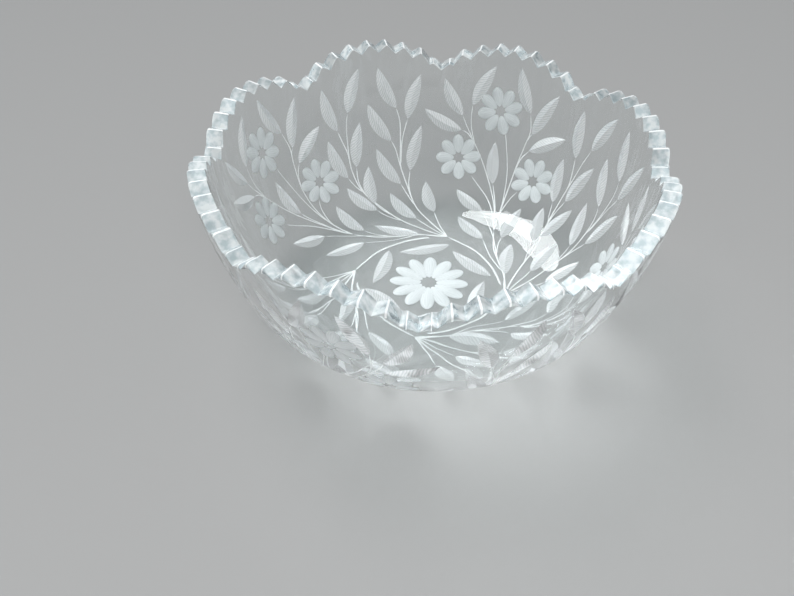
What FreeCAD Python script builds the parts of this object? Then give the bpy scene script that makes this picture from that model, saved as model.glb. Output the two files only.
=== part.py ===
import FreeCAD, Part
import math
import os

# A scalloped cut glass bowl. Millimetres, +Z up, origin at the centre of the flat base.

# Profile of the outer surface: a flat base, a tight shoulder arc, then a long wall arc.
BASE_RADIUS = 46.0
SHOULDER_RADIUS = 45.0
SHOULDER_ANGLE = 65.0
WALL_RADIUS = 175.0
BLANK_HEIGHT = 88.0
GLASS = 7.6                 # thickness of the base and of the wall

# Saw-tooth rim: radial V notches whose bottoms follow eight arches, one notch in each valley.
LOBES = 8
NOTCHES_ON_ARCH = 8
NOTCH_PITCH = 5.37          # degrees of azimuth between the notches of an arch
NOTCH_ANGLE = 100.0         # included angle of the V
NOTCH_ARM = 8.0             # slant length of a notch flank, a little more than a tooth needs
NOTCH_LEAN = 0.6            # share of the arch's slope that a notch leans with
VALLEY_HEIGHT = 68.8        # height of the notch bottom in a valley
ARCH_RISE = 10.6
RIM_RADIUS = 98.5           # middle of the wall at the rim

LOBE_PITCH = 360.0 / LOBES
CUT_IN = 60.0               # the notch cutters run between these two radii
CUT_OUT = 125.0

# Engraving on the outside. Places are (x, y) in millimetres on the bowl as if flattened: the
# distance from the middle is measured along the surface, and the direction is the azimuth.
SPRAY_TURNS = (-87, 0, 87, 180)     # the same spray four times, by hand, not quite evenly
LEAF_WIDTH = 7.0
LEAF_DEPTH = 1.2
LEAVES = [                          # foot and tip of each leaf of a spray
    ((37, 9), (41, 33)), ((50, 12), (66, 29)), ((57, 3), (77, 10)),
    ((36, 38), (48, 57)), ((53, 34), (61, 54)), ((57, 36), (78, 45)),
    ((73, 24), (89, 43)), ((82, 20), (108, 17)), ((96, 35), (110, 56)),
    ((114, 36), (131, 55)), ((110, 27), (135, 22)), ((67, 55), (80, 75)),
    ((75, 52), (99, 58)), ((88, 71), (102, 91)), ((100, 68), (125, 69)),
    ((58, 88), (84, 84)), ((62, 96), (86, 108)), ((63, 107), (61, 133)),
    ((33, 75), (37, 98)), ((26, 58), (12, 73)), ((26, 36), (13, 54)),
    ((16, 115), (3, 135)), ((15, 107), (-10, 118)), ((23, 120), (42, 138)),
]
RING_LEAVES = 6                     # leaves that circle the flower on the base
RING_LEAF_FOOT = (31.0, 13.0)       # distance from the middle, azimuth
RING_LEAF_TIP = (27.0, 66.0)
DAISIES = [(13, 92), (42, 114), (57, 71)]
DAISY_PETALS = 8
DAISY_HEART = 3.6                   # radius of the plain middle of a daisy
DAISY_RADIUS = 12.6
DAISY_PETAL_WIDTH = 6.0
BASE_PETALS = 12                    # the larger flower in the middle of the base
BASE_HEART = 4.6
BASE_FLOWER_RADIUS = 19.0
BASE_PETAL_WIDTH = 7.0
PETAL_DEPTH = 0.5
DEPTH_LEFT = 0.25                   # least share of a cut's depth below the bulge of the surface
FLANK_REACH = 2.0                   # height of a cutter's flanks, in cut depths
SWEEP_MARGIN = 1.25                 # how far a cutter sweeps past the ends of its cut

AXIS_FOOT = FreeCAD.Vector(0, 0, 0)
UP = FreeCAD.Vector(0, 0, 1)


def polar(radius, azimuth, height=0.0):
    """A point from cylindrical coordinates, azimuth in degrees."""
    angle = math.radians(azimuth)
    return FreeCAD.Vector(radius * math.cos(angle), radius * math.sin(angle), height)


def on_circle(centre, radius, angle):
    """A point of a circle in the XZ plane, angle measured from +X towards +Z."""
    return centre + FreeCAD.Vector(math.cos(angle), 0, math.sin(angle)) * radius


def inside_profile(inset):
    """The closed solid of revolution whose profile is the outer one moved in by inset."""
    join_angle = math.radians(SHOULDER_ANGLE - 90)
    shoulder_centre = FreeCAD.Vector(BASE_RADIUS, 0, SHOULDER_RADIUS)
    shoulder = SHOULDER_RADIUS - inset
    wall_centre = on_circle(shoulder_centre, SHOULDER_RADIUS - WALL_RADIUS, join_angle)
    wall = WALL_RADIUS - inset
    top_angle = math.asin((BLANK_HEIGHT - wall_centre.z) / wall)

    low = FreeCAD.Vector(0, 0, inset)
    base = on_circle(shoulder_centre, shoulder, -math.pi / 2)
    bend = on_circle(shoulder_centre, shoulder, (join_angle - math.pi / 2) / 2)
    join = on_circle(shoulder_centre, shoulder, join_angle)
    middle = on_circle(wall_centre, wall, (join_angle + top_angle) / 2)
    top = on_circle(wall_centre, wall, top_angle)
    high = FreeCAD.Vector(0, 0, BLANK_HEIGHT)
    edges = [
        Part.LineSegment(low, base).toShape(),
        Part.Arc(base, bend, join).toShape(),
        Part.Arc(join, middle, top).toShape(),
        Part.LineSegment(top, high).toShape(),
        Part.LineSegment(high, low).toShape(),
    ]
    return Part.Face(Part.Wire(edges)).revolve(AXIS_FOOT, UP, 360)


def notch_cutter(azimuth, bottom, lean):
    """A radial prism: a V leaning by an angle in degrees, open straight up from its flanks' ends."""
    reach = []
    for side in (-1, 1):
        slope = math.radians(lean + side * NOTCH_ANGLE / 2)
        reach.append((NOTCH_ARM * math.sin(slope), bottom + NOTCH_ARM * math.cos(slope)))
    ceiling = BLANK_HEIGHT + 1
    outline = [(0, bottom), reach[1], (reach[1][0], ceiling), (reach[0][0], ceiling), reach[0]]
    across = polar(1, azimuth + 90)
    points = [polar(CUT_IN, azimuth, z) + across * x for x, z in outline]
    points.append(points[0])
    return Part.Face(Part.makePolygon(points)).extrude(polar(CUT_OUT - CUT_IN, azimuth))


def arch_height_and_lean(offset):
    """Height of a notch bottom, and its lean, at an azimuth offset from the middle of a lobe."""
    phase = math.pi * offset / LOBE_PITCH
    height = VALLEY_HEIGHT + ARCH_RISE * math.cos(phase)
    half_chord = RIM_RADIUS * math.radians(LOBE_PITCH / 2)
    slope = ARCH_RISE * math.pi / 2 / half_chord * math.sin(phase)
    return height, NOTCH_LEAN * math.degrees(math.atan(slope))


def rim_notches():
    """All notch cutters: one in each valley between lobes, the rest evenly along each arch."""
    cutters = []
    for lobe in range(LOBES):
        cutters.append(notch_cutter(lobe * LOBE_PITCH, VALLEY_HEIGHT, 0))
        for number in range(NOTCHES_ON_ARCH):
            offset = (number - (NOTCHES_ON_ARCH - 1) / 2) * NOTCH_PITCH
            height, lean = arch_height_and_lean(offset)
            cutters.append(notch_cutter((lobe + 0.5) * LOBE_PITCH + offset, height, lean))
    return cutters


def outside(place):
    """The surface point and outward normal at a flattened place (x, y)."""
    arc = math.hypot(place[0], place[1])
    azimuth = math.degrees(math.atan2(place[1], place[0]))
    if arc <= BASE_RADIUS:
        return polar(arc, azimuth), -UP
    turn = (arc - BASE_RADIUS) / SHOULDER_RADIUS
    full_turn = math.radians(SHOULDER_ANGLE)
    radius = SHOULDER_RADIUS
    centre = (BASE_RADIUS, SHOULDER_RADIUS)
    if turn > full_turn:
        turn = full_turn + (arc - BASE_RADIUS - SHOULDER_RADIUS * full_turn) / WALL_RADIUS
        gap = WALL_RADIUS - SHOULDER_RADIUS
        centre = (centre[0] - gap * math.sin(full_turn), centre[1] + gap * math.cos(full_turn))
        radius = WALL_RADIUS
    point = polar(centre[0] + radius * math.sin(turn), azimuth, centre[1] - radius * math.cos(turn))
    return point, polar(math.sin(turn), azimuth, -math.cos(turn))


def turned(place, degrees):
    """A flattened place turned about the bowl's axis."""
    angle = math.radians(degrees)
    x, y = place
    return x * math.cos(angle) - y * math.sin(angle), x * math.sin(angle) + y * math.cos(angle)


def wheel_cut(foot, tip, width, depth):
    """The part of a V-edged wheel that passes through the glass between foot and tip."""
    start = outside(foot)[0]
    end = outside(tip)[0]
    middle, normal = outside(((foot[0] + tip[0]) / 2, (foot[1] + tip[1]) / 2))
    half = (end - start).Length / 2
    bulge = (middle - (start + end) / 2).dot(normal)
    depth = max(depth, bulge + DEPTH_LEFT * depth)
    radius = half ** 2 / (2 * (depth - bulge))
    centre = middle + normal * (radius - depth)
    axle = (end - start).cross(normal).normalize()

    flank = FLANK_REACH * depth
    flare = axle * (flank * width / 2 / depth)
    sweep = math.degrees(math.asin(min(1.0, SWEEP_MARGIN * half / radius)))
    spin = FreeCAD.Rotation(axle, -sweep)
    down = spin.multVec(normal * -1)
    shoulder = centre + down * (radius - flank)
    side = [centre + down * radius, shoulder + flare, shoulder - flare]
    profile = Part.Face(Part.makePolygon(side + side[:1]))
    return profile.revolve(centre, axle, 2 * sweep)


def spray_leaves():
    """Cutters of the leaves of all sprays, then of the ring of leaves on the base."""
    cutters = []
    for turn in SPRAY_TURNS:
        for foot, tip in LEAVES:
            cutters.append(wheel_cut(turned(foot, turn), turned(tip, turn), LEAF_WIDTH, LEAF_DEPTH))
    for number in range(RING_LEAVES):
        turn = 360.0 * number / RING_LEAVES
        foot = turned((RING_LEAF_FOOT[0], 0), RING_LEAF_FOOT[1] + turn)
        tip = turned((RING_LEAF_TIP[0], 0), RING_LEAF_TIP[1] + turn)
        cutters.append(wheel_cut(foot, tip, LEAF_WIDTH, LEAF_DEPTH))
    return cutters


def daisy(place, petals, heart, reach, width):
    """Cutters of one daisy: petals side by side around a plain middle."""
    arc = math.hypot(place[0], place[1])
    azimuth = math.degrees(math.atan2(place[1], place[0]))
    point = outside(place)[0]
    stretch = arc / math.hypot(point.x, point.y) if arc > BASE_RADIUS else 1.0
    cutters = []
    for number in range(petals):
        angle = 2 * math.pi * number / petals
        ends = []
        for distance in (heart, reach):
            outward = distance * math.cos(angle)
            sideways = distance * math.sin(angle) * stretch
            shift = turned((outward, sideways), azimuth)
            ends.append((place[0] + shift[0], place[1] + shift[1]))
        cutters.append(wheel_cut(ends[0], ends[1], width, PETAL_DEPTH))
    return cutters


def flowers():
    """Cutters of the flower on the base and of the daisies of every spray."""
    cutters = daisy((0, 0), BASE_PETALS, BASE_HEART, BASE_FLOWER_RADIUS, BASE_PETAL_WIDTH)
    for turn in SPRAY_TURNS:
        for place in DAISIES:
            middle = turned(place, turn)
            cutters += daisy(middle, DAISY_PETALS, DAISY_HEART, DAISY_RADIUS, DAISY_PETAL_WIDTH)
    return cutters


def bowl():
    """The finished piece: a plain blank, engraved outside, then notched along the rim."""
    blank = inside_profile(0).cut(inside_profile(GLASS))
    for cutters in (spray_leaves(), flowers(), rim_notches()):
        blank = blank.cut(cutters)
    return blank


def main():
    os.makedirs("parts", exist_ok=True)
    piece = bowl()
    solid = piece.Solids[0]
    print("valid", solid.isValid(), "solids", len(piece.Solids), "volume", round(solid.Volume))
    solid.exportStep("parts/bowl.step")


main()
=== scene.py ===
import math

import bpy
import numpy as np
from mathutils import Matrix, Vector, geometry, kdtree


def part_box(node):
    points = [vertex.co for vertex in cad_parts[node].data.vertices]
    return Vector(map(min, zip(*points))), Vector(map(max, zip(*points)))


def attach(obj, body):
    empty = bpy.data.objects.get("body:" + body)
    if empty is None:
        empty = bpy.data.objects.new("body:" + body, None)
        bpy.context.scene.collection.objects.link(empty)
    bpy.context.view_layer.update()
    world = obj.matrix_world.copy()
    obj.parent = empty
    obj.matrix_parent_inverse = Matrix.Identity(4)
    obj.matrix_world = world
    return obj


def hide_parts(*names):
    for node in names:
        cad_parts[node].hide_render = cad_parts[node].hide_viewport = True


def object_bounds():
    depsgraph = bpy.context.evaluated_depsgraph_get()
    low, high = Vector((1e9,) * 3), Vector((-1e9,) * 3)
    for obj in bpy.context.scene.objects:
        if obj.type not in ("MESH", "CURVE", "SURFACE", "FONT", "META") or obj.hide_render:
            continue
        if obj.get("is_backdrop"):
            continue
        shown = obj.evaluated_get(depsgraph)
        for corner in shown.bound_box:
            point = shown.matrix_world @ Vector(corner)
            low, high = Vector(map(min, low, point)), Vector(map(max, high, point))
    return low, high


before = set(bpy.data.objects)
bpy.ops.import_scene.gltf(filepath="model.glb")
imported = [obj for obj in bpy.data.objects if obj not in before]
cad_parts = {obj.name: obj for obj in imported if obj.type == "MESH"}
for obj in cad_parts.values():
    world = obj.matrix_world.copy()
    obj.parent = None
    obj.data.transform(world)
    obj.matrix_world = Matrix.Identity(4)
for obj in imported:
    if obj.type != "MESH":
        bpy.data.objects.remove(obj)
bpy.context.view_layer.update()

# A scalloped cut glass bowl, one closed mesh. Sizes are in millimetres. The form, the rim and the
# places of the cuts are those of the CAD part. The depth of the leaves and the size and aim of
# the petals are not, and only this mesh has stems, bowed leaves and rounded teeth.
MM = 0.001
BASE_RADIUS = 46.0
SHOULDER_RADIUS = 45.0
SHOULDER_TURN = math.radians(65)
WALL_RADIUS = 175.0
WALL_START = BASE_RADIUS + SHOULDER_RADIUS * SHOULDER_TURN
WALL_GAP = WALL_RADIUS - SHOULDER_RADIUS
WALL_CENTRE_R = BASE_RADIUS - WALL_GAP * math.sin(SHOULDER_TURN)
WALL_CENTRE_Z = SHOULDER_RADIUS + WALL_GAP * math.cos(SHOULDER_TURN)
GLASS = 7.6

# Saw-tooth rim.
LOBES = 8
LOBE_PITCH = 360.0 / LOBES
NOTCHES_ON_ARCH = 8
NOTCH_PITCH = 5.37
NOTCH_ANGLE = 100.0
NOTCH_LEAN = 0.6
VALLEY_HEIGHT = 68.8
ARCH_RISE = 10.6
RIM_RADIUS = 98.5
CREST_ROUND = 0.9           # how far the rounding of a tooth's crest reaches down its flanks
CREST_DROP = 0.33           # what that takes off the top of a crest
CREST_SIDE_DROP = 0.12      # and off its sides
GROOVE_ROUND = 0.35         # the same at the bottom of a notch
GROOVE_FILL = 0.12
CREST_HIGHLIGHT_SHARE = 0.88                # painted highlight: rim faces nearer a crest than this share of a flank get the white stem glass
OUTER_SOFTENING = 0.45      # rounding of the teeth where they meet the outside of the wall
TIP_SOFTENING = 2.0         # what a tooth's outer tip has on top of that
INNER_SOFTENING = 0.35
EDGE_STEPS = 4
FLANK_SHARES = (0.35, 0.68)     # where a flank has points between its groove and its crest
FLANK_ROUNDS = 6                # enough for the height on a flank to settle
CREST_HALVINGS = 40             # and for the azimuth of a crest

# Engraving, placed on the outside of the bowl as if flattened: the distance from the middle is
# measured along the surface, and the direction is the azimuth.
SPRAY_TURNS = (-87, 0, 87, 180)
LEAF_WIDTH = 7.0
LEAF_DEPTH = 1.8
LEAF_BEND = 0.045           # share of its length by which a leaf bows to its left
LEAF_SKEW = 0.88            # below 1, a leaf is widest below its middle
LEAF_FULLNESS = 0.9         # below 1, its ends are blunter than a parabola's
LEAVES = [                  # foot and tip of each leaf of a spray
    ((37, 9), (41, 33)), ((50, 12), (66, 29)), ((57, 3), (77, 10)),
    ((36, 38), (48, 57)), ((53, 34), (61, 54)), ((57, 36), (78, 45)),
    ((73, 24), (89, 43)), ((82, 20), (108, 17)), ((96, 35), (110, 56)),
    ((114, 36), (131, 55)), ((110, 27), (135, 22)), ((67, 55), (80, 75)),
    ((75, 52), (99, 58)), ((88, 71), (102, 91)), ((100, 68), (125, 69)),
    ((58, 88), (84, 84)), ((62, 96), (86, 108)), ((63, 107), (61, 133)),
    ((33, 75), (37, 98)), ((26, 58), (12, 73)), ((26, 36), (13, 54)),
    ((16, 115), (3, 135)), ((15, 107), (-10, 118)), ((23, 120), (42, 138)),
]
RING_LEAVES = 6
RING_LEAF_FOOT = (31.0, 13.0)
RING_LEAF_TIP = (27.0, 66.0)
DAISIES = [(13, 92), (42, 114), (57, 71)]
DAISY_PETALS = 8
DAISY_HEART = 2.6
DAISY_RADIUS = 12.6
DAISY_PETAL_WIDTH = 6.7
BASE_PETALS = 12
BASE_HEART = 3.6
BASE_FLOWER_RADIUS = 19.0
BASE_PETAL_WIDTH = 7.2
PETAL_DEPTH = 0.45
PETAL_FOOT = 0.76           # share of its width that a petal has towards the heart
PETAL_FLARE = 0.34          # and what it gains on that by its tip
PETAL_MIDDLE = 0.54         # share of its length that its rings of points shrink towards
PETAL_INNER = 0.62          # size of the middle ring of points
PETAL_CORE = 0.25           # and of the smallest
PETAL_END = 0.02            # share of its length left out of its UV map at both ends
SHARE_END = 1e-4            # keeps widths off zero at both ends of a leaf or petal
STEM_WIDTH = 0.75
STEM_DEPTH = 0.3
STEM_TAPER = 0.75           # share of its width that a stem keeps at its tip
STEM_FAR = 9.0              # in half widths, further than any stem is cut
STEMS = [                   # the middle lines of a spray's stems, width share first
    (1.5, [(2, -35), (14, -30.5), (26, -22), (33, -12), (36.5, -6)]),
    (1.0, [(36.5, -6), (36.5, 2), (37, 9)]),
    (1.0, [(36.5, -6), (42, 2), (50, 12)]),
    (1.0, [(36.5, -6), (46, -1), (57, 3)]),
    (1.1, [(36.5, -6), (48, 4), (60, 13.5), (72, 19), (82, 20)]),
    (0.9, [(60, 13.5), (70, 21.5), (73, 24)]),
    (1.0, [(64, 15.8), (72, 19.8), (84, 26.5), (92, 31), (96, 35)]),
    (1.0, [(78, 23), (84, 26.2), (97, 29), (108, 32), (114, 36)]),
    (0.9, [(84, 26), (98, 28), (110, 27)]),
    (1.1, [(36.5, -6), (40, 4), (46, 17), (55, 31), (63, 45), (72, 54), (80, 60), (88, 71)]),
    (0.9, [(47, 19), (50, 28), (53, 34)]),
    (0.9, [(51, 25), (53.5, 30), (57, 36)]),
    (0.9, [(62, 43.5), (64, 49), (67, 55)]),
    (0.9, [(61, 42), (67, 48), (75, 52)]),
    (0.9, [(76, 57), (86, 62.5), (93, 66), (100, 68)]),
    (1.0, [(37, -4), (36.5, 8), (33.5, 20), (31.5, 30), (32, 43)]),
    (0.9, [(33, 23), (34, 32), (36, 38)]),
    (1.0, [(32, 43), (38, 62), (47, 80), (56, 92), (61, 98), (63, 107)]),
    (0.9, [(57, 93.2), (60, 95.5), (62, 96)]),
    (0.9, [(47, 80), (52, 85.5), (58, 88)]),
    (0.9, [(33.5, 48), (36, 56), (42, 64), (47, 67.5)]),
    (0.9, [(32, 43), (37, 60), (42.5, 82), (44, 101.5)]),
    (0.9, [(32, 43), (33.5, 60), (33, 75)]),
    (0.9, [(32, 43), (32, 55), (29, 67), (20.5, 81)]),
    (0.9, [(32, 43), (33, 60), (31, 75), (27, 90), (22, 102), (18, 110), (16, 115)]),
    (0.8, [(22.5, 100.5), (19, 105), (15, 107)]),
    (0.8, [(23.5, 98), (21.5, 110), (23, 120)]),
    (0.9, [(33.8, 18), (31.5, 38), (29, 50), (26, 58)]),
    (0.9, [(35.5, 11), (30, 22), (26, 36)]),
]
STEM_STEP = 2.4             # spacing of the points along a stem
STEM_POINTS = 4             # and the fewest of them
CURVE_STEPS = 12            # steps of the smooth line between two given points
RIM_MARGIN = 2.2            # engraving fades out this far below the rim
RIM_GAP = 0.6               # and its lines stop this far below the rim
GRID = 2.3                  # spacing of the mesh on the plain outside
INNER_GRID = 3.2            # and on the inside
RING_SPACING = 0.87         # rings of the mesh are this share of its spacing apart
RING_POINTS = 6             # the fewest points of a ring
WALL_REACH = 62.0           # no part of the rim is further than this along the wall
CLEARANCE = 1.0             # plain mesh points keep this far from the engraving
OUTLINE_STEPS = 12
SEARCH_MARGIN = 0.5         # a cut is looked for this far around its outline
LEAST_GAIN = 1e-6           # a cut has to be this much deeper to take over from another
CDT_FILL = 1                # Blender's triangulation keeps what is inside the boundary
CDT_WELD = 1e-4             # and joins points nearer than this

# Kinds of face, which number the materials, and groups of faces with smooth normals. A cut has
# two groups from FIRST_CUT on, one for each of its sides.
POLISHED, LEAF_CUT, PETAL_CUT, STEM_AND_CREST_HIGHLIGHT, RIM_CUT = range(5)
OUTSIDE, INSIDE, RIM_BAND, FIRST_CUT = range(4)
CUT_MAP = "cut"

# The camera: metres from the foot of the bowl, degrees, and millimetres of lens.
CAMERA_DISTANCE = 0.392
CAMERA_AZIMUTH = -88.4
CAMERA_ELEVATION = 41.6
CAMERA_ROLL = -2.0
CAMERA_PAN = 2.25
CAMERA_TILT = -0.7
CAMERA_LENS = 36.3
SENSOR_WIDTH = 36.0
CLIP_START = 0.01

# The stage: metres, degrees, and colours as shares of red, green and blue.
FLOOR_GAP = 0.0003          # between the foot of the bowl and the floor
FLOOR_HALF = 30.0           # wide enough for its edge to look level
FLOOR_COLOURS = ((0.225, 0.225, 0.222), (0.24, 0.24, 0.237))
ROOM_COLOURS = ((0.50, 0.505, 0.51), (0.34, 0.355, 0.37))
ROOM_TOP = 0.6              # height in the room from which it is as dark as overhead
KEY_AZIMUTH = 130           # the window and the glint come from behind, on the left
WINDOW_COLOUR = (0.97, 0.985, 1.0)
WHITE = (1.0, 1.0, 1.0)
LAMP_DISTANCE = 1.6
GLASS_IOR = 1.54
EXPOSURE = 0.1


# Surfaces of revolution ------------------------------------------------------------------------

def profile(arc, inset):
    """Radius, height and slope of the outside, moved in by inset, at distances along it."""
    arc = np.asarray(arc, float)
    turn = np.minimum(np.maximum(arc - BASE_RADIUS, 0) / SHOULDER_RADIUS, SHOULDER_TURN)
    turn = turn + np.maximum(arc - WALL_START, 0) / WALL_RADIUS
    on_wall = arc > WALL_START
    centre_r = np.where(on_wall, WALL_CENTRE_R, np.minimum(arc, BASE_RADIUS))
    centre_z = np.where(on_wall, WALL_CENTRE_Z, SHOULDER_RADIUS)
    bend = np.where(on_wall, WALL_RADIUS, SHOULDER_RADIUS) - inset
    return centre_r + bend * np.sin(turn), centre_z - bend * np.cos(turn), turn


def on_surface(places, inset):
    """Points and outward normals at flattened places, (n, 2) in millimetres."""
    arc = np.hypot(places[:, 0], places[:, 1])
    azimuth = np.arctan2(places[:, 1], places[:, 0])
    radius, height, turn = profile(arc, inset)
    cos, sin = np.cos(azimuth), np.sin(azimuth)
    points = np.stack([radius * cos, radius * sin, height], 1)
    normals = np.stack([np.sin(turn) * cos, np.sin(turn) * sin, -np.cos(turn)], 1)
    return points, normals


def flattened(arc, azimuth):
    return np.stack([arc * np.cos(azimuth), arc * np.sin(azimuth)], -1)


def turned(place, degrees):
    angle = math.radians(degrees)
    x, y = place
    return x * math.cos(angle) - y * math.sin(angle), x * math.sin(angle) + y * math.cos(angle)


# Rim -------------------------------------------------------------------------------------------

def notches():
    """Azimuth in radians, bottom height and lean in degrees of every notch, in turn."""
    found = []
    half_chord = RIM_RADIUS * math.radians(LOBE_PITCH / 2)
    for lobe in range(LOBES):
        found.append((math.radians(lobe * LOBE_PITCH), VALLEY_HEIGHT, 0.0))
        for number in range(NOTCHES_ON_ARCH):
            offset = (number - (NOTCHES_ON_ARCH - 1) / 2) * NOTCH_PITCH
            phase = math.pi * offset / LOBE_PITCH
            height = VALLEY_HEIGHT + ARCH_RISE * math.cos(phase)
            slope = ARCH_RISE * math.pi / 2 / half_chord * math.sin(phase)
            lean = NOTCH_LEAN * math.degrees(math.atan(slope))
            found.append((math.radians((lobe + 0.5) * LOBE_PITCH + offset), height, lean))
    return found


def wall_radius(height, inset):
    bend = WALL_RADIUS - inset
    return WALL_CENTRE_R + math.sqrt(bend ** 2 - (WALL_CENTRE_Z - height) ** 2)


def wall_arc(height, inset):
    turn = math.acos((WALL_CENTRE_Z - height) / (WALL_RADIUS - inset))
    return WALL_START + (turn - SHOULDER_TURN) * WALL_RADIUS


def flank_height(notch, side, azimuth, inset):
    """Height at which a notch's flank meets the wall's surface at an azimuth."""
    middle, bottom, lean = notch
    grade = 1 / math.tan(math.radians(lean + side * NOTCH_ANGLE / 2))
    height = bottom
    for _ in range(FLANK_ROUNDS):
        height = bottom + wall_radius(height, inset) * math.sin(azimuth - middle) * grade
    return height


def crest_azimuth(notch, following, inset):
    """Where the flanks of two neighbouring notches meet on the wall's surface."""
    low, high = notch[0], following[0]
    for _ in range(CREST_HALVINGS):
        azimuth = (low + high) / 2
        rising = flank_height(notch, 1, azimuth, inset)
        falling = flank_height(following, -1, azimuth, inset)
        if rising < falling:
            low = azimuth
        else:
            high = azimuth
    return azimuth


def rim_line(inset):
    """The saw-tooth line on the wall's surface: azimuth, height and how near a crest, each (n,)."""
    cuts = notches()
    line = []
    for number, notch in enumerate(cuts):
        following = cuts[(number + 1) % len(cuts)]
        if number + 1 == len(cuts):
            following = (following[0] + 2 * math.pi, following[1], following[2])
        crest = crest_azimuth(notch, following, inset)
        for side, base in ((1, notch), (-1, following)):
            span = crest - base[0]
            length = abs(span) * RIM_RADIUS / math.sin(math.radians(NOTCH_ANGLE / 2))
            groove = GROOVE_ROUND / length
            tip = 1 - CREST_ROUND / length
            shares = [groove, *FLANK_SHARES, tip, (1 + tip) / 2]
            part = []
            for share in shares:
                azimuth = base[0] + span * share
                height = flank_height(base, side, azimuth, inset)
                if share > tip:
                    height -= CREST_SIDE_DROP
                part.append((azimuth, height, share))
            if side == 1:
                line.append((base[0], base[1] + GROOVE_FILL, 0.0))
                line += part
                top = flank_height(base, 1, crest, inset)
                line.append((crest, top - CREST_DROP, 1.0))
            else:
                line += part[::-1]
    return np.array(line)


def rim_rows():
    """Rows of points across the teeth from outside to inside, and the flattened places of the
    first and the last row."""
    outer, inner = rim_line(0.0), rim_line(GLASS)
    soft = OUTER_SOFTENING + TIP_SOFTENING * outer[:, 2] ** 3
    arc_out = np.array([wall_arc(h, 0.0) for h in outer[:, 1]])
    arc_in = np.array([wall_arc(h, GLASS) for h in inner[:, 1]])
    edge_out = on_surface(flattened(arc_out, outer[:, 0]), 0.0)[0]
    edge_in = on_surface(flattened(arc_in, inner[:, 0]), GLASS)[0]
    place_out = flattened(arc_out - soft, outer[:, 0])
    place_in = flattened(arc_in - INNER_SOFTENING, inner[:, 0])
    start = on_surface(place_out, 0.0)[0]
    end = on_surface(place_in, GLASS)[0]
    across = edge_in - edge_out
    across /= np.linalg.norm(across, axis=1)[:, None]
    rows = curved(start, edge_out, edge_out + across * soft[:, None], EDGE_STEPS)
    back = curved(end, edge_in, edge_in - across * INNER_SOFTENING, EDGE_STEPS - 1)
    rows += [(rows[-1] + back[-1]) / 2] + back[::-1]
    return rows, place_out, place_in


def curved(start, corner, end, steps):
    """Points from start to end that round off the corner between them."""
    shares = [n / steps for n in range(steps + 1)]
    return [start * (1 - t) ** 2 + corner * 2 * t * (1 - t) + end * t ** 2 for t in shares]


# Engraving -------------------------------------------------------------------------------------

class Patch:
    """A straight piece of the flattened outside with true millimetres along and across it."""

    def __init__(self, foot, tip):
        foot, tip = np.array(foot, float), np.array(tip, float)
        middle = (foot + tip) / 2
        arc = max(np.hypot(*middle), 1e-6)
        outward = middle / arc
        sideways = np.array([-outward[1], outward[0]])
        stretch = arc / float(profile(arc, 0.0)[0])
        true = np.array([(tip - foot) @ outward, (tip - foot) @ sideways / stretch])
        self.length = np.hypot(*true)
        along = true / self.length
        across = np.array([-along[1], along[0]])
        frame_axes = np.stack([outward, sideways * stretch], 1)
        self.axes = frame_axes @ np.stack([along, across], 1)
        self.inverse = np.linalg.inv(self.axes)
        self.foot = foot

    def place(self, local):
        return self.foot + local @ self.axes.T

    def local(self, places):
        return (places - self.foot) @ self.inverse.T


def ring_edges(count):
    """Edges that join this many points into a closed line."""
    return [(n, (n + 1) % count) for n in range(count)]


def ribbed(outline, rib, tip):
    """Points and edges of a closed outline with a rib from its first point to its tip."""
    count = len(outline)
    middle = [0] + [count + n for n in range(len(rib))] + [tip]
    edges = ring_edges(count) + list(zip(middle[:-1], middle[1:]))
    return np.concatenate([outline, rib]), edges


class Leaf:
    """A V cut with a rib, widest below its middle and bowed to its left."""
    kind = LEAF_CUT

    def __init__(self, foot, tip):
        self.patch = Patch(foot, tip)
        shares = np.linspace(0, 1, OUTLINE_STEPS + 1)
        left, rib, right = self.lines(shares)
        along = shares * self.patch.length
        edge = np.concatenate([np.stack([along, left], 1), np.stack([along, right], 1)[-2:0:-1]])
        self.outline = self.patch.place(edge)
        self.ridge = self.patch.place(np.stack([along, rib], 1)[1:-1])

    def swell(self, share):
        share = np.clip(share, 0, 1) ** LEAF_SKEW
        return (4 * share * (1 - share)) ** LEAF_FULLNESS

    def lines(self, share):
        half = LEAF_WIDTH / 2 * self.swell(share)
        bow = LEAF_BEND * self.patch.length * 4 * share * (1 - share)
        return bow + half, bow, bow - half

    def depth(self, places):
        local = self.patch.local(places)
        share = local[:, 0] / self.patch.length
        inside = (share > 0) & (share < 1)
        share = np.clip(share, SHARE_END, 1 - SHARE_END)
        left, rib, right = self.lines(share)
        offset = local[:, 1]
        fall = np.minimum((left - offset) / (left - rib), (offset - right) / (rib - right))
        return np.where(inside, LEAF_DEPTH * self.swell(share) * np.clip(fall, 0, 1), 0)

    def side(self, places):
        local = self.patch.local(places)
        share = np.clip(local[:, 0] / self.patch.length, SHARE_END, 1 - SHARE_END)
        return local[:, 1] > self.lines(share)[1]

    def spread(self, places):
        """Millimetres along and across the leaf."""
        return self.patch.local(places)

    def loops(self):
        return ribbed(self.outline, self.ridge, OUTLINE_STEPS)


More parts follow.
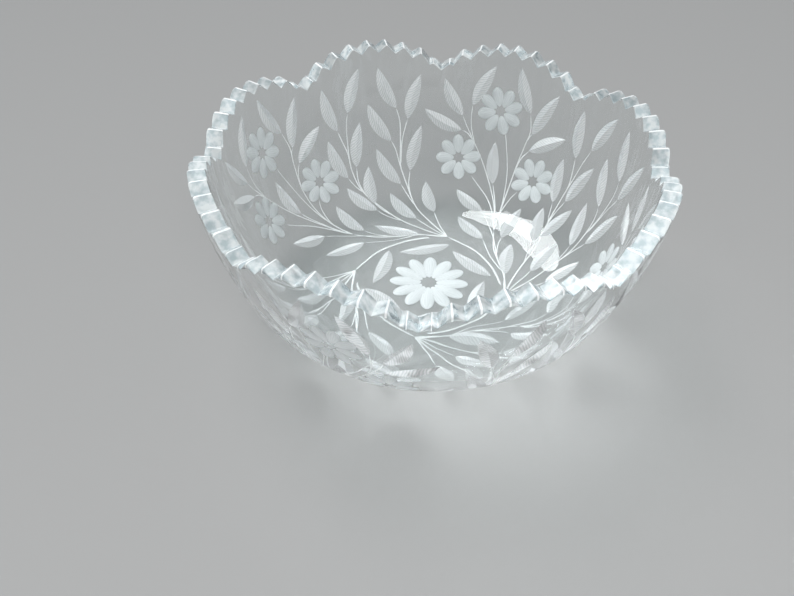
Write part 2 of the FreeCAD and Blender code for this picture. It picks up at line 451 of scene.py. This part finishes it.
class Petal:
    """A shallow dished oval, narrower towards the heart of its flower."""
    kind = PETAL_CUT

    def __init__(self, foot, tip, width):
        self.patch = Patch(foot, tip)
        self.width = width
        angles = np.linspace(0, 2 * math.pi, 2 * OUTLINE_STEPS, endpoint=False)
        self.outline = self.patch.place(self.ring(angles, 1.0))
        inner = self.ring(angles[::2], PETAL_INNER)
        core = self.ring(angles[::4], PETAL_CORE)
        self.filling = self.patch.place(np.concatenate([inner, core]))

    def half(self, share):
        swell = np.sqrt(4 * share * (1 - share))
        return self.width / 2 * swell * (PETAL_FOOT + PETAL_FLARE * share)

    def ring(self, angles, size):
        share = 0.5 - 0.5 * np.cos(angles)
        edge = self.half(share) * np.where(angles > math.pi, -1, 1)
        along = (PETAL_MIDDLE + (share - PETAL_MIDDLE) * size) * self.patch.length
        return np.stack([along, edge * size], 1)

    def depth(self, places):
        local = self.patch.local(places)
        share = local[:, 0] / self.patch.length
        inside = (share > 0) & (share < 1)
        share = np.clip(share, SHARE_END, 1 - SHARE_END)
        fall = 1 - (local[:, 1] / self.half(share)) ** 2
        dish = np.clip(fall, 0, 1) * np.sqrt(4 * share * (1 - share))
        return np.where(inside, PETAL_DEPTH * dish, 0)

    def side(self, places):
        return np.zeros(len(places), bool)

    def spread(self, places):
        """Share of the petal's length, and of its half width to either side."""
        local = self.patch.local(places)
        share = np.clip(local[:, 0] / self.patch.length, PETAL_END, 1 - PETAL_END)
        return np.stack([share, local[:, 1] / self.half(share)], 1)

    def loops(self):
        return np.concatenate([self.outline, self.filling]), ring_edges(len(self.outline))


class Stem:
    """A thin V groove along a smooth line."""
    kind = STEM_AND_CREST_HIGHLIGHT

    def __init__(self, share, points):
        self.middle = smoothed(np.array(points, float))
        arc = np.hypot(self.middle[:, 0], self.middle[:, 1])
        ahead = np.gradient(self.middle, axis=0)
        ahead /= np.linalg.norm(ahead, axis=1)[:, None]
        across = np.stack([-ahead[:, 1], ahead[:, 0]], 1)
        outward = self.middle / arc[:, None]
        stretch = arc / profile(arc, 0.0)[0]
        lying = np.abs((across * outward).sum(1))
        grow = lying + (1 - lying) * stretch
        taper = np.linspace(1, STEM_TAPER, len(self.middle))
        self.half = STEM_WIDTH * share / 2 * taper * grow
        inner = slice(1, -1)
        left = (self.middle + across * self.half[:, None])[inner]
        right = (self.middle - across * self.half[:, None])[inner]
        self.outline = np.concatenate([self.middle[:1], left, self.middle[-1:], right[::-1]])
        self.rib = self.middle[inner]

    def nearest(self, places):
        """Distance to the middle line as a share of the groove's half width, with its side."""
        best = np.full(len(places), STEM_FAR)
        side = np.zeros(len(places), bool)
        for n in range(len(self.middle) - 1):
            start, run = self.middle[n], self.middle[n + 1] - self.middle[n]
            gap = places - start
            share = np.clip(gap @ run / (run @ run), 0, 1)
            offset = gap - share[:, None] * run
            half = self.half[n] * (1 - share) + self.half[n + 1] * share
            ratio = np.hypot(offset[:, 0], offset[:, 1]) / half
            nearer = ratio < best
            best = np.where(nearer, ratio, best)
            side = np.where(nearer, run[0] * gap[:, 1] - run[1] * gap[:, 0] > 0, side)
        return best, side

    def depth(self, places):
        return STEM_DEPTH * np.clip(1 - self.nearest(places)[0], 0, 1)

    def side(self, places):
        return self.nearest(places)[1]

    def loops(self):
        return ribbed(self.outline, self.rib, 1 + len(self.rib))


def smoothed(points):
    """Points at even steps along a smooth line through the given ones."""
    padded = np.concatenate([2 * points[:1] - points[1:2], points, 2 * points[-1:] - points[-2:-1]])
    line = []
    for n in range(1, len(padded) - 2):
        a, b, c, d = padded[n - 1:n + 3]
        for t in np.linspace(0, 1, CURVE_STEPS, endpoint=False):
            line.append(0.5 * (2 * b + (c - a) * t + (2 * a - 5 * b + 4 * c - d) * t ** 2
                               + (3 * b - a - 3 * c + d) * t ** 3))
    line = np.array(line + [points[-1]])
    run = np.concatenate([[0], np.cumsum(np.linalg.norm(np.diff(line, axis=0), axis=1))])
    count = max(STEM_POINTS, int(round(run[-1] / STEM_STEP)) + 1)
    even = np.linspace(0, run[-1], count)
    return np.stack([np.interp(even, run, line[:, 0]), np.interp(even, run, line[:, 1])], 1)


def flower(place, petals, heart, reach, width, aim):
    """The petals of one flower, around a plain heart. aim is the direction of its first petal."""
    arc = math.hypot(*place)
    azimuth = math.degrees(math.atan2(place[1], place[0]))
    stretch = arc / float(profile(arc, 0.0)[0]) if arc > BASE_RADIUS else 1.0
    made = []
    for number in range(petals):
        angle = 2 * math.pi * number / petals + math.radians(aim - azimuth)
        ends = []
        for distance in (heart, reach):
            shift = (distance * math.cos(angle), distance * math.sin(angle) * stretch)
            shift = turned(shift, azimuth)
            ends.append((place[0] + shift[0], place[1] + shift[1]))
        made.append(Petal(ends[0], ends[1], width))
    return made


def engraving():
    """Every cut on the outside of the bowl."""
    cuts = flower((0, 0), BASE_PETALS, BASE_HEART, BASE_FLOWER_RADIUS,
                  BASE_PETAL_WIDTH, 0)
    for number in range(RING_LEAVES):
        turn = 360.0 * number / RING_LEAVES
        foot = turned((RING_LEAF_FOOT[0], 0), RING_LEAF_FOOT[1] + turn)
        tip = turned((RING_LEAF_TIP[0], 0), RING_LEAF_TIP[1] + turn)
        cuts.append(Leaf(foot, tip))
    for turn in SPRAY_TURNS:
        for foot, tip in LEAVES:
            cuts.append(Leaf(turned(foot, turn), turned(tip, turn)))
        for place in DAISIES:
            cuts += flower(turned(place, turn), DAISY_PETALS, DAISY_HEART, DAISY_RADIUS,
                           DAISY_PETAL_WIDTH, turn)
        for share, points in STEMS:
            cuts.append(Stem(share, [turned(p, turn) for p in points]))
    return cuts


class RimLimit:
    """How far out engraving may reach at each azimuth."""

    def __init__(self, boundary):
        azimuth = np.arctan2(boundary[:, 1], boundary[:, 0])
        order = np.argsort(azimuth)
        self.azimuth = azimuth[order]
        self.arc = np.hypot(boundary[:, 0], boundary[:, 1])[order]

    def at(self, places):
        azimuth = np.arctan2(places[:, 1], places[:, 0])
        return np.interp(azimuth, self.azimuth, self.arc, period=2 * math.pi) - RIM_GAP

    def clamp(self, places):
        arc = np.hypot(places[:, 0], places[:, 1])
        limit = self.at(places)
        return places * np.minimum(1, limit / np.maximum(arc, 1e-6))[:, None]

    def fade(self, places):
        arc = np.hypot(places[:, 0], places[:, 1])
        return np.clip((self.at(places) - arc) / RIM_MARGIN, 0, 1)


def carved(places, cuts, limit):
    """Depth at places, and which cut and which of its sides is the deepest there, or -1."""
    depth = np.zeros(len(places))
    owner = np.full(len(places), -1)
    side = np.zeros(len(places), bool)
    for number, cut in enumerate(cuts):
        low = cut.outline.min(0) - SEARCH_MARGIN
        high = cut.outline.max(0) + SEARCH_MARGIN
        near = np.nonzero(((places > low) & (places < high)).all(1))[0]
        if not len(near):
            continue
        found = cut.depth(places[near])
        deeper = found > depth[near] + LEAST_GAIN
        chosen = near[deeper]
        depth[chosen] = found[deeper]
        owner[chosen] = number
        side[chosen] = cut.side(places[near])[deeper]
    return depth * limit.fade(places), owner, side


# Meshing ---------------------------------------------------------------------------------------

def polar_grid(step, limit):
    """Evenly spread places inside the rim."""
    rings = [np.zeros((1, 2))]
    arc = step
    number = 0
    while arc < WALL_START + WALL_REACH:
        count = max(RING_POINTS, int(round(2 * math.pi * arc / step)))
        azimuth = (np.arange(count) + 0.5 * (number % 2)) * 2 * math.pi / count
        rings.append(flattened(np.full(count, arc), azimuth))
        arc += step * RING_SPACING
        number += 1
    places = np.concatenate(rings)
    return places[np.hypot(places[:, 0], places[:, 1]) < limit.at(places) - 0.5 * step]


def triangulated(boundary, cuts, step):
    """Triangles over the flattened disc that follow the rim and every cut's lines.
    Returns the places, the triangles, the number of each boundary point among the places, and
    how far out the engraving may reach."""
    limit = RimLimit(boundary)
    points = [boundary]
    edges = ring_edges(len(boundary))
    total = len(boundary)
    for cut in cuts:
        places, lines = cut.loops()
        points.append(limit.clamp(places))
        edges += [(a + total, b + total) for a, b in lines]
        total += len(places)
    on_lines = np.concatenate(points)
    tree = kdtree.KDTree(len(on_lines))
    for n, place in enumerate(on_lines):
        tree.insert((place[0], place[1], 0), n)
    tree.balance()
    grid = polar_grid(step, limit)
    clear = [tree.find((x, y, 0))[2] > CLEARANCE for x, y in grid]
    points = np.concatenate([on_lines, grid[np.array(clear)]])
    vectors = [Vector(p) for p in points]
    made = geometry.delaunay_2d_cdt(vectors, edges, [], CDT_FILL, CDT_WELD)
    places = np.array([tuple(v) for v in made[0]])
    triangles = np.array([f for f in made[2] if len(f) == 3])
    rim = np.full(len(boundary), -1)
    for n, sources in enumerate(made[3]):
        for source in sources:
            if source < len(boundary):
                rim[source] = n
    return places, triangles, rim, limit


def strip(rows):
    """Quads between neighbouring closed rows of vertex numbers."""
    faces = []
    for first, second in zip(rows[:-1], rows[1:]):
        ahead_first, ahead_second = np.roll(first, -1), np.roll(second, -1)
        faces += np.stack([first, ahead_first, ahead_second, second], 1).tolist()
    return faces


def corner_normals(points, faces, groups, fixed):
    """Normals of every face corner, smooth within a group of faces. fixed gives the exact
    normals of the plain surfaces by vertex, with a flag for where they hold."""
    face_normals = np.zeros((len(faces), 3))
    for n, face in enumerate(faces):
        corners = points[face]
        cross = np.zeros(3)
        for k in range(1, len(face) - 1):
            cross += np.cross(corners[k] - corners[0], corners[k + 1] - corners[0])
        face_normals[n] = cross
    owners = np.concatenate([[n] * len(f) for n, f in enumerate(faces)])
    vertices = np.concatenate([np.array(f) for f in faces])
    keys = vertices.astype(np.int64) * (int(groups.max()) + 1) + groups[owners]
    unique, back = np.unique(keys, return_inverse=True)
    sums = np.zeros((len(unique), 3))
    np.add.at(sums, back, face_normals[owners])
    normals = sums[back]
    normals /= np.maximum(np.linalg.norm(normals, axis=1), 1e-12)[:, None]
    exact, holds = fixed
    plain = groups[owners] < RIM_BAND
    use = plain | (holds[vertices] & (groups[owners] == RIM_BAND))
    normals[use] = exact[vertices[use]]
    return normals


def bowl_mesh():
    """The whole bowl as one closed mesh, in metres around the origin of the part."""
    rows, place_out, place_in = rim_rows()
    cuts = engraving()
    out_places, out_faces, out_rim, limit = triangulated(place_out, cuts, GRID)
    in_places, in_faces, in_rim, _ = triangulated(place_in, [], INNER_GRID)
    depth, _, _ = carved(out_places, cuts, limit)
    out_points, out_normals = on_surface(out_places, depth)
    in_points, in_normals = on_surface(in_places, GLASS)

    centres = out_places[out_faces].mean(1)
    owner, side = carved(centres, cuts, limit)[1:]
    faces = out_faces[:, ::-1].tolist()
    kinds = [POLISHED if o < 0 else cuts[o].kind for o in owner]
    groups = [OUTSIDE if o < 0 else FIRST_CUT + 2 * int(o) + int(s)
              for o, s in zip(owner, side)]

    shift = len(out_points)
    faces += (in_faces + shift).tolist()
    kinds += [POLISHED] * len(in_faces)
    groups += [INSIDE] * len(in_faces)
    points = [out_points, in_points]
    total = shift + len(in_points)
    numbered = [out_rim]
    for row in rows[1:-1]:
        points.append(row)
        numbered.append(np.arange(total, total + len(row)))
        total += len(row)
    numbered.append(in_rim + shift)
    band = strip(numbered)
    faces += band
    # Painted highlight: the faces along each crest get the white stem glass, in place of the light
    # that a crest catches.
    near_crest = rim_line(0.0)[:, 2] > CREST_HIGHLIGHT_SHARE
    ridge = near_crest & np.roll(near_crest, -1)
    kinds += np.where(np.tile(ridge, len(numbered) - 1), STEM_AND_CREST_HIGHLIGHT, RIM_CUT).tolist()
    groups += [RIM_BAND] * len(band)

    points = np.concatenate(points)
    exact = np.zeros((total, 3))
    exact[:shift] = out_normals
    exact[shift:shift + len(in_points)] = -in_normals
    holds = np.zeros(total, bool)
    holds[out_rim] = True
    holds[in_rim + shift] = True
    groups = np.array(groups)
    normals = corner_normals(points, faces, groups, (exact, holds))

    mesh = bpy.data.meshes.new("cut_glass_bowl")
    mesh.from_pydata((points * MM).tolist(), [], faces)
    mesh.polygons.foreach_set("material_index", kinds)
    mesh.polygons.foreach_set("use_smooth", [True] * len(faces))
    add_cut_coordinates(mesh, faces, kinds, groups, cuts, out_places)
    mesh.update()
    mesh.normals_split_custom_set(normals.tolist())
    return mesh


def add_cut_coordinates(mesh, faces, kinds, groups, cuts, places):
    """A UV map for the marks of the wheel, as every leaf and petal spreads it."""
    layer = mesh.uv_layers.new(name=CUT_MAP)
    spots = np.zeros((len(mesh.loops), 2), np.float32)
    corner = 0
    for face, kind, group in zip(faces, kinds, groups):
        if kind in (LEAF_CUT, PETAL_CUT):
            cut = cuts[(group - FIRST_CUT) // 2]
            spots[corner:corner + len(face)] = cut.spread(places[face])
        corner += len(face)
    layer.data.foreach_set("uv", spots.ravel())


# Materials -------------------------------------------------------------------------------------

def new_material(name):
    material = bpy.data.materials.new(name)
    material.use_nodes = True
    tree = material.node_tree
    tree.nodes.clear()
    return material, tree


def link(tree, source, target):
    tree.links.new(source, target)


def add_noise(tree, vector, scale, detail):
    noise = tree.nodes.new("ShaderNodeTexNoise")
    noise.inputs["Scale"].default_value = scale
    noise.inputs["Detail"].default_value = detail
    if vector is not None:
        link(tree, vector, noise.inputs["Vector"])
    return noise.outputs["Fac"]


def remap(tree, value, source=(0, 1), target=(0, 1), smooth=False):
    """A socket that takes value from the range source to the range target."""
    node = tree.nodes.new("ShaderNodeMapRange")
    if smooth:
        node.interpolation_type = "SMOOTHSTEP"
    ends = ("From Min", "From Max", "To Min", "To Max")
    for end, number in zip(ends, (*source, *target)):
        node.inputs[end].default_value = number
    link(tree, value, node.inputs["Value"])
    return node.outputs["Result"]


def colour_ramp(tree, value, colours, top=1.0):
    """A socket that goes from the first colour at 0 to the second at top."""
    node = tree.nodes.new("ShaderNodeValToRGB")
    for element, colour in zip(node.color_ramp.elements, colours):
        element.color = (*colour, 1)
    node.color_ramp.elements[1].position = top
    link(tree, value, node.inputs["Fac"])
    return node.outputs["Color"]


def multiply(tree, first, second):
    node = tree.nodes.new("ShaderNodeMath")
    node.operation = "MULTIPLY"
    link(tree, first, node.inputs[0])
    link(tree, second, node.inputs[1])
    return node.outputs["Value"]


def cut_map(tree):
    uv = tree.nodes.new("ShaderNodeUVMap")
    uv.uv_map = CUT_MAP
    return uv.outputs["UV"]


def glass_material(name, tints, transmission, roughness, pattern, bumps, passed):
    """Clear or ground glass. tints and roughness are pairs that pattern spreads over the
    surface, bumps is a list of functions that return a height socket with its strength and
    distance, and passed is the colour that lamps keep on their way through one face."""
    material, tree = new_material(name)
    nodes = tree.nodes
    output = nodes.new("ShaderNodeOutputMaterial")
    shader = nodes.new("ShaderNodeBsdfPrincipled")
    shader.inputs["IOR"].default_value = GLASS_IOR
    shader.inputs["Transmission Weight"].default_value = transmission
    coords = nodes.new("ShaderNodeTexCoord").outputs["Object"]
    spread = pattern(tree, coords)
    link(tree, colour_ramp(tree, spread, tints), shader.inputs["Base Color"])
    link(tree, remap(tree, spread, target=roughness), shader.inputs["Roughness"])
    normal = None
    for make in bumps:
        height, strength, distance = make(tree, coords)
        bump = nodes.new("ShaderNodeBump")
        bump.inputs["Strength"].default_value = strength
        bump.inputs["Distance"].default_value = distance
        link(tree, height, bump.inputs["Height"])
        if normal is not None:
            link(tree, normal, bump.inputs["Normal"])
        normal = bump.outputs["Normal"]
    link(tree, normal, shader.inputs["Normal"])
    clear = nodes.new("ShaderNodeBsdfTransparent")
    clear.inputs["Color"].default_value = (*passed, 1)
    path = nodes.new("ShaderNodeLightPath")
    mix = nodes.new("ShaderNodeMixShader")
    link(tree, path.outputs["Is Shadow Ray"], mix.inputs[0])
    link(tree, shader.outputs["BSDF"], mix.inputs[1])
    link(tree, clear.outputs["BSDF"], mix.inputs[2])
    link(tree, mix.outputs["Shader"], output.inputs["Surface"])
    return material


def mottle(scale, low, high):
    """A pattern of soft spots between 0 and 1."""
    def make(tree, coords):
        return remap(tree, add_noise(tree, coords, scale, detail=5), source=(low, high))
    return make


def petal_painted_shade(tree, coords):
    """Painted shade: a petal's colour darkens, and its roughness falls, towards its edges, where it
    meets its neighbours; its grain and the wheel's lines are the glass's own.
    """
    uv = cut_map(tree)
    split = tree.nodes.new("ShaderNodeSeparateXYZ")
    link(tree, uv, split.inputs["Vector"])
    size = tree.nodes.new("ShaderNodeMath")
    size.operation = "ABSOLUTE"
    link(tree, split.outputs["Y"], size.inputs[0])
    # painted shade, darkest at the petal's edges where petals meet
    edge = remap(tree, size.outputs["Value"], source=(1.0, 0.7), smooth=True)
    grain = remap(tree, mottle(700, 0.2, 0.8)(tree, coords), target=(0.75, 1))
    return multiply(tree, multiply(tree, edge, grain), petal_lines(tree, uv))


def petal_lines(tree, uv):
    """The faint lines that the wheel leaves along a petal."""
    stretch = tree.nodes.new("ShaderNodeMapping")
    stretch.inputs["Scale"].default_value = (1.2, 5.0, 1.0)
    link(tree, uv, stretch.inputs["Vector"])
    noise = add_noise(tree, stretch.outputs["Vector"], scale=1.0, detail=2)
    return remap(tree, noise, source=(0.35, 0.65), target=(0.35, 1))


def wheel_marks(tree, coords):
    """Fine oblique lines that the wheel leaves in a leaf, with their strength and distance."""
    wave = tree.nodes.new("ShaderNodeTexWave")
    wave.wave_type = "BANDS"
    wave.bands_direction = "DIAGONAL"
    wave.inputs["Scale"].default_value = 0.4
    wave.inputs["Distortion"].default_value = 6.0
    wave.inputs["Detail"].default_value = 2
    wave.inputs["Detail Scale"].default_value = 0.8
    link(tree, cut_map(tree), wave.inputs["Vector"])
    return wave.outputs["Fac"], 0.35, 0.00018


def cut_lines(tree, coords):
    """The same lines as a pattern."""
    return wheel_marks(tree, coords)[0]


def waviness(tree, coords):
    """The faint unevenness of hand polished glass."""
    return add_noise(tree, coords, scale=45, detail=1), 0.25, 0.0006


def grinding(tree, coords):
    """The grain of an unpolished cut."""
    return add_noise(tree, coords, scale=2200, detail=3), 0.4, 0.00008


def bowl_materials():
    """One material for each way that the glass is finished, numbered as the kinds of face."""
    return [
        glass_material("crystal_polished", transmission=1.0, roughness=(0.01, 0.035),
                       tints=((0.955, 0.975, 0.975), (0.94, 0.965, 0.965)),
                       pattern=mottle(60, 0.45, 0.75), bumps=[waviness],
                       passed=(0.76, 0.78, 0.78)),
        glass_material("crystal_facet", transmission=0.64, roughness=(0.06, 0.24),
                       tints=((0.74, 0.77, 0.78), (0.99, 1.0, 1.0)),
                       pattern=cut_lines, bumps=[wheel_marks],
                       passed=(0.8, 0.82, 0.82)),
        # the dark end of these tints is painted shade at the petals' edges
        glass_material("crystal_satin", transmission=0.34, roughness=(0.5, 0.6),
                       tints=((0.44, 0.47, 0.475), (0.80, 0.83, 0.84)),
                       pattern=petal_painted_shade, bumps=[grinding],
                       passed=(0.5, 0.52, 0.52)),
        # the stems, and also the painted highlight along the rim's crests
        glass_material("crystal_stem_and_crest_highlight", transmission=0.45, roughness=(0.1, 0.25),
                       tints=((0.86, 0.89, 0.89), (0.97, 0.98, 0.98)),
                       pattern=mottle(700, 0.35, 0.65), bumps=[grinding],
                       passed=(0.6, 0.62, 0.62)),
        glass_material("crystal_rim", transmission=0.68, roughness=(0.03, 0.2),
                       tints=((0.55, 0.65, 0.68), (0.95, 1.0, 1.0)),
                       pattern=mottle(300, 0.38, 0.6), bumps=[waviness, grinding],
                       passed=(0.8, 0.82, 0.82)),
    ]


def floor_material():
    """Plain grey matt surface with a very faint mottle."""
    material, tree = new_material("studio_floor")
    output = tree.nodes.new("ShaderNodeOutputMaterial")
    shader = tree.nodes.new("ShaderNodeBsdfPrincipled")
    shader.inputs["Roughness"].default_value = 0.7
    noise = add_noise(tree, None, scale=3, detail=2)
    link(tree, colour_ramp(tree, noise, FLOOR_COLOURS), shader.inputs["Base Color"])
    link(tree, shader.outputs["BSDF"], output.inputs["Surface"])
    return material


# Stage -----------------------------------------------------------------------------------------

def add_floor(height):
    half = FLOOR_HALF
    corners = [(-half, -half), (half, -half), (half, half), (-half, half)]
    mesh = bpy.data.meshes.new("floor")
    mesh.from_pydata([(x, y, height) for x, y in corners], [], [(0, 1, 2, 3)])
    floor = bpy.data.objects.new("floor", mesh)
    floor.data.materials.append(floor_material())
    bpy.context.scene.collection.objects.link(floor)
    floor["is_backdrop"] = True


def add_world():
    """A pale room, darker overhead, so that the glass has something to show."""
    world = bpy.data.worlds.new("room")
    world.use_nodes = True
    tree = world.node_tree
    tree.nodes.clear()
    output = tree.nodes.new("ShaderNodeOutputWorld")
    background = tree.nodes.new("ShaderNodeBackground")
    coords = tree.nodes.new("ShaderNodeTexCoord")
    split = tree.nodes.new("ShaderNodeSeparateXYZ")
    link(tree, coords.outputs["Generated"], split.inputs["Vector"])
    colours = colour_ramp(tree, split.outputs["Z"], ROOM_COLOURS, ROOM_TOP)
    link(tree, colours, background.inputs["Color"])
    background.inputs["Strength"].default_value = 1.0
    link(tree, background.outputs["Background"], output.inputs["Surface"])
    bpy.context.scene.world = world


def add_lamp(light, name, azimuth, elevation, mirrored, through):
    """Aim a lamp at the bowl. It may be kept out of the reflections on the glass, and out of what
    is seen through it."""
    holder = bpy.data.objects.new(name, light)
    around, up = math.radians(azimuth), math.radians(elevation)
    back = Vector((math.cos(around) * math.cos(up), math.sin(around) * math.cos(up), math.sin(up)))
    holder.location = back * LAMP_DISTANCE
    holder.visible_glossy = mirrored
    holder.visible_transmission = through
    holder.rotation_mode = "QUATERNION"
    holder.rotation_quaternion = (-back).to_track_quat("-Z", "Y")
    bpy.context.scene.collection.objects.link(holder)


def add_daylight(azimuth, elevation, spread, strength, colour):
    """Soft even light from a wide window far away."""
    light = bpy.data.lights.new("daylight", "SUN")
    light.angle = math.radians(spread)
    light.energy = strength
    light.color = colour
    add_lamp(light, "daylight", azimuth, elevation, mirrored=False, through=True)


def add_softbox(name, azimuth, elevation, width, height, power, colour,
                mirrored=True, through=True):
    """A rectangular soft light that faces the bowl."""
    light = bpy.data.lights.new(name, "AREA")
    light.shape = "RECTANGLE"
    light.size = width
    light.size_y = height
    light.energy = power
    light.color = colour
    add_lamp(light, name, azimuth, elevation, mirrored, through)


def add_camera(centre):
    """The view of the photograph: from above the near side, close, with a slight roll."""
    elevation = math.radians(CAMERA_ELEVATION)
    azimuth = math.radians(CAMERA_AZIMUTH)
    roll, pan, tilt = (math.radians(angle) for angle in (CAMERA_ROLL, CAMERA_PAN, CAMERA_TILT))
    back = Vector((math.cos(azimuth) * math.cos(elevation),
                   math.sin(azimuth) * math.cos(elevation), math.sin(elevation)))
    right = Vector((-math.sin(azimuth), math.cos(azimuth), 0))
    forward = -back
    up = right.cross(forward)
    view = Matrix((right, up, forward))
    aim = Matrix.Rotation(tilt, 3, "X") @ Matrix.Rotation(pan, 3, "Y")
    aim = aim @ Matrix.Rotation(roll, 3, "Z")
    right, up, forward = (aim @ view).row
    data = bpy.data.cameras.new("camera")
    data.sensor_width = SENSOR_WIDTH
    data.lens = CAMERA_LENS
    data.clip_start = CLIP_START
    camera = bpy.data.objects.new("camera", data)
    turn = Matrix((right, up, -forward)).transposed()
    place = Matrix.Translation(centre + back * CAMERA_DISTANCE)
    camera.matrix_world = place @ turn.to_4x4()
    bpy.context.scene.collection.objects.link(camera)
    bpy.context.scene.camera = camera


low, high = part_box("bowl")
centre = Vector(((low.x + high.x) / 2, (low.y + high.y) / 2, low.z))
bowl = bpy.data.objects.new("glass_bowl", bowl_mesh())
bowl.location = centre
for material in bowl_materials():
    bowl.data.materials.append(material)
bpy.context.scene.collection.objects.link(bowl)
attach(bowl, "root")
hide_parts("bowl")

add_floor(low.z - FLOOR_GAP)
add_world()
add_daylight(KEY_AZIMUTH, elevation=55, spread=34, strength=2.9, colour=WINDOW_COLOUR)
add_softbox("glint", KEY_AZIMUTH, elevation=60, width=0.45, height=0.35, power=2.4,
            colour=WINDOW_COLOUR)
add_softbox("front", -80, elevation=42, width=0.9, height=0.6, power=22, colour=WHITE,
            mirrored=False, through=False)
add_camera(centre)
bpy.context.scene.view_settings.view_transform = "Standard"
bpy.context.scene.view_settings.exposure = EXPOSURE

low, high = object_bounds()
